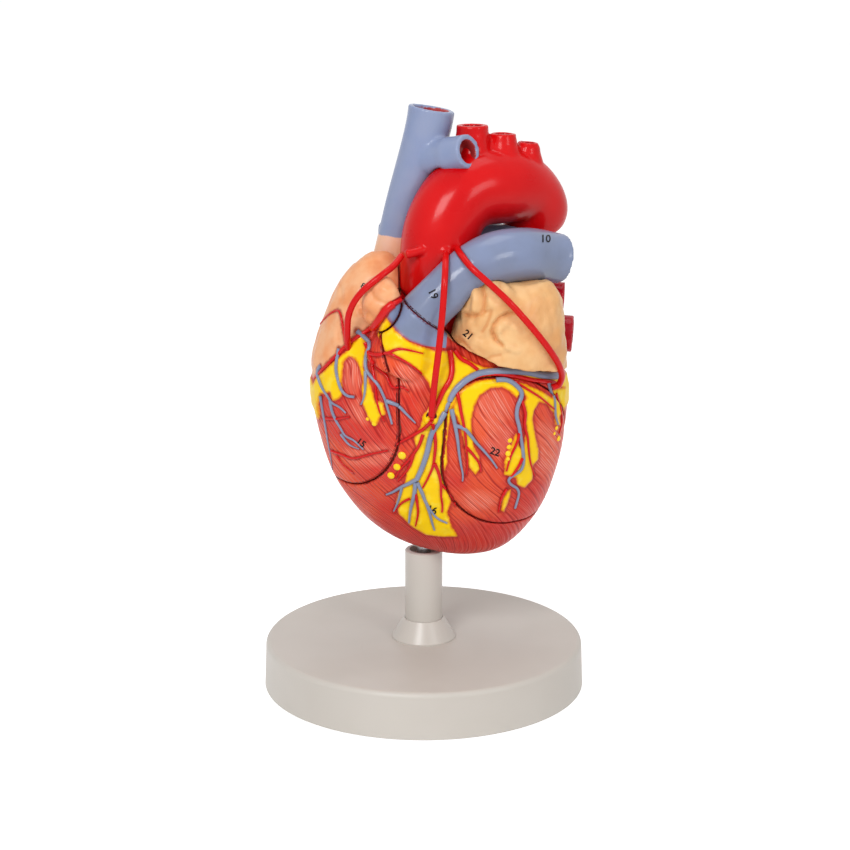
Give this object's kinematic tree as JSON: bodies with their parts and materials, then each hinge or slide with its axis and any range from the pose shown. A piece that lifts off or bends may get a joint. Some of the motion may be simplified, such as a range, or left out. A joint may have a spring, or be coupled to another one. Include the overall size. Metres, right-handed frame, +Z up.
{
  "type": "heart anatomy model",
  "caption": "enlarged human heart teaching model with bypass vessels on a round stand; two front walls and the upper casting lift away to show the chambers and valves",
  "frame": {"origin": "centre of the underside of the base, on the plane its feet stand on", "axes": "+Z up along the column, -Y towards the front of the heart, +X towards the left ventricle"},
  "size_m": [0.18, 0.18, 0.3252],
  "materials": {
    "stand_plastic": "satin moulded plastic",
    "foot_rubber": "matt",
    "steel": "turned",
    "pin_metal": "plain",
    "bush_plastic": "plain",
    "muscle": "hand painted and varnished",
    "inner_muscle": "hand painted and varnished",
    "valve_cream": "hand painted and varnished",
    "artery_red": "hand painted and varnished",
    "vein_blue": "hand painted and varnished",
    "atrium_tan": "hand painted and varnished",
    "crimson": "hand painted and varnished"
  },
  "bodies": {
    "stand": {"base_disc": "stand_plastic", "base_feet": "foot_rubber", "base_washer": "steel", "base_screw": "steel", "column_tube": "stand_plastic", "column_collar": "stand_plastic", "column_plug": "stand_plastic"},
    "rod": {"support_rod": "steel"},
    "heart": {"heart_body": "muscle", "rod_bush": "bush_plastic", "tricuspid_valve": "valve_cream", "mitral_valve": "valve_cream", "aortic_valve": "valve_cream", "pulmonary_valve": "valve_cream", "right_papillary_muscles": "inner_muscle", "left_papillary_muscles": "inner_muscle", "inferior_vena_cava": "vein_blue", "right_wall_pins": "pin_metal", "left_wall_pins": "pin_metal", "upper_pegs": "bush_plastic"},
    "right_wall": {"right_wall": "muscle", "bypass_right": "artery_red"},
    "left_wall": {"left_wall": "muscle"},
    "upper": {"aortic_arch": "artery_red", "pulmonary_trunk": "vein_blue", "vena_cava": "vein_blue", "left_atrium": "atrium_tan", "pulmonary_veins": "crimson", "right_pulmonary_artery": "vein_blue", "bypass_middle": "artery_red", "bypass_left": "artery_red"}
  },
  "joints": [
    {"name": "rod_turn", "type": "hinge", "parent": "stand", "child": "rod", "pos_m": [0, 0, 0.08], "axis": [0, 0, 1], "continuous": true},
    {"name": "heart_lift", "type": "slide", "parent": "rod", "child": "heart", "axis": [0, 0, 1], "range_m": [0, 0.06]},
    {"name": "right_wall_pull", "type": "slide", "parent": "heart", "child": "right_wall", "axis": [-0.6018, -0.7986, 0], "range_m": [0, 0.09]},
    {"name": "left_wall_pull", "type": "slide", "parent": "heart", "child": "left_wall", "axis": [0.5, -0.866, 0], "range_m": [0, 0.09]},
    {"name": "upper_lift", "type": "slide", "parent": "heart", "child": "upper", "axis": [0, 0, 1], "range_m": [0, 0.11]}
  ]
}
